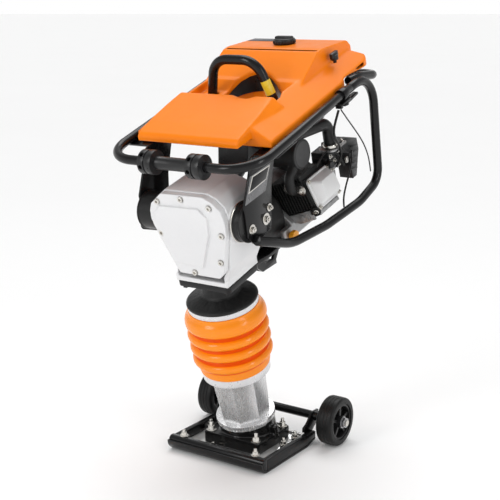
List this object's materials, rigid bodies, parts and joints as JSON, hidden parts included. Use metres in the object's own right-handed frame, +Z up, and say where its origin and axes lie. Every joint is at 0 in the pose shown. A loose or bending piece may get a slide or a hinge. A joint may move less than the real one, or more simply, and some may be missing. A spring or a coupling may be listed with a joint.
{
  "type": "tamping rammer",
  "caption": "Upright petrol tamping rammer: flat shoe, sprung leg with bellows, gear case, small engine, looped carrying handle, moulded fuel tank and rear transport wheels.",
  "frame": {"origin": "on the flat underside of the shoe, at ground level, on the machine's mid plane", "axes": "+Z up, -Y to the front where the gear case and the handle's front bar are, +X to the side that the engine's cylinder points to"},
  "size_m": [0.444, 0.649, 1.0218],
  "materials": {
    "black_paint": "gloss black paint",
    "black_cast": "black painted casting, slightly rough",
    "cast_aluminium": "fine blasted casting",
    "leg_aluminium": "brushed flats",
    "engine_aluminium": "as cast",
    "zinc": "bright zinc",
    "steel": "machined steel",
    "spring_steel": "dark spring steel",
    "orange_rubber": "orange moulded rubber",
    "black_rubber": "black moulded rubber",
    "tyre_rubber": "solid tyre",
    "black_plastic": "black moulded plastic",
    "orange_plastic": "orange moulded polyethylene",
    "yellow_plastic": "yellow moulded plastic",
    "cable_jacket": "black cable jacket"
  },
  "bodies": {
    "foot": {"sole_plate": "black_paint", "shoe_tray": "black_paint", "shoe_rim": "black_paint", "pedestal": "black_cast", "foot_fasteners": "zinc", "leg_casting": "leg_aluminium", "lower_band": "cast_aluminium", "spring_cylinder": "steel", "cylinder_cap": "steel", "lower_spring": "spring_steel", "upper_spring": "spring_steel", "bellows": "orange_rubber", "wheel_bracket": "black_paint", "axle": "zinc"},
    "wheel_left": {"tyre_left": "tyre_rubber", "wheel_hub_left": "black_plastic"},
    "wheel_right": {"tyre_right": "tyre_rubber", "wheel_hub_right": "black_plastic"},
    "casing": {"upper_band": "cast_aluminium", "guide_housing": "black_cast", "flange_plate": "black_paint", "crankcase": "cast_aluminium", "gear_cover": "cast_aluminium", "casing_fasteners": "zinc", "crank_bearings": "steel", "ram_rod": "steel", "clutch_housing": "black_cast", "engine_block": "engine_aluminium", "engine_cylinder": "engine_aluminium", "valve_cover": "cast_aluminium", "muffler": "black_paint", "carburettor": "engine_aluminium", "air_box": "black_plastic", "intake_elbow": "black_rubber", "air_cleaner": "black_plastic", "recoil_starter": "black_plastic", "engine_cradle": "black_paint", "side_plates": "black_paint", "rubber_mounts": "black_rubber", "handle_bar": "black_paint", "rear_handle": "black_paint", "guard_tubes": "black_paint", "lifting_hoop": "black_paint", "fuel_tank": "orange_plastic", "throttle_bracket": "black_paint", "throttle_cable": "cable_jacket", "stop_wire": "cable_jacket", "ignition_wire": "cable_jacket"},
    "crank": {"crank_gear": "steel"},
    "con_rod": {"connecting_rod": "steel"},
    "clutch_bell": {"clutch_drum": "steel"},
    "engine_shaft": {"engine_rotor": "steel", "centrifugal_clutch": "steel", "flywheel": "steel"},
    "recoil_grip": {"recoil_handle": "black_plastic"},
    "oil_plug": {"oil_cap": "yellow_plastic"},
    "tank_cap": {"fuel_cap": "black_plastic"},
    "tank_tap": {"fuel_tap": "black_plastic"},
    "throttle": {"throttle_lever": "black_paint"},
    "roller": {"transport_roller": "black_plastic"}
  },
  "joints": [
    {"name": "jump_stroke", "type": "slide", "parent": "foot", "child": "casing", "axis": [0, -0.2924, 0.9563], "range_m": [0, 0.06], "deforming": ["bellows", "lower_spring", "upper_spring"]},
    {"name": "wheel_left_spin", "type": "hinge", "parent": "foot", "child": "wheel_left", "pos_m": [0.1855, 0.15, 0.0625], "axis": [1, 0, 0], "continuous": true},
    {"name": "wheel_right_spin", "type": "hinge", "parent": "foot", "child": "wheel_right", "pos_m": [-0.1855, 0.15, 0.0625], "axis": [1, 0, 0], "continuous": true},
    {"name": "crank_spin", "type": "hinge", "parent": "casing", "child": "crank", "pos_m": [0, -0.14329, 0.61586], "axis": [0, 0.9563, 0.2924], "continuous": true},
    {"name": "con_rod_pivot", "type": "hinge", "parent": "crank", "child": "con_rod", "pos_m": [0, -0.14709, 0.62829], "axis": [0, 0.9563, 0.2924], "continuous": true},
    {"name": "clutch_bell_spin", "type": "hinge", "parent": "casing", "child": "clutch_bell", "pos_m": [0, -0.05179, 0.556], "axis": [0, 0.9563, 0.2924], "continuous": true},
    {"name": "engine_spin", "type": "hinge", "parent": "casing", "child": "engine_shaft", "pos_m": [0, 0.13565, 0.6133], "axis": [0, 0.9563, 0.2924], "continuous": true},
    {"name": "recoil_pull", "type": "slide", "parent": "casing", "child": "recoil_grip", "axis": [-1, 0, 0], "range_m": [0, 0.45], "stiffness_N_per_m": 15, "springref_m": -0.3},
    {"name": "oil_cap_turn", "type": "hinge", "parent": "casing", "child": "oil_plug", "pos_m": [0.107, 0.0651, 0.54991], "axis": [1, 0, 0], "range_deg": [0, 360]},
    {"name": "fuel_cap_turn", "type": "hinge", "parent": "casing", "child": "tank_cap", "pos_m": [0, 0.19014, 1.00302], "axis": [0, -0.1219, 0.9925], "range_deg": [0, 90]},
    {"name": "fuel_tap_turn", "type": "hinge", "parent": "casing", "child": "tank_tap", "pos_m": [0.1535, 0.17142, 0.97237], "axis": [0, -0.3387, 0.9409], "range_deg": [0, 90]},
    {"name": "throttle_turn", "type": "hinge", "parent": "casing", "child": "throttle", "pos_m": [0.205, 0.13401, 0.86962], "axis": [0, -0.3387, 0.9409], "range_deg": [0, 60]},
    {"name": "roller_spin", "type": "hinge", "parent": "casing", "child": "roller", "pos_m": [0, -0.258, 0.754], "axis": [1, 0, 0], "continuous": true}
  ],
  "couplings": [
    {"joint": "con_rod_pivot", "follows": "crank_spin", "ratio": -1},
    {"joint": "clutch_bell_spin", "follows": "crank_spin", "ratio": -2.8182}
  ]
}
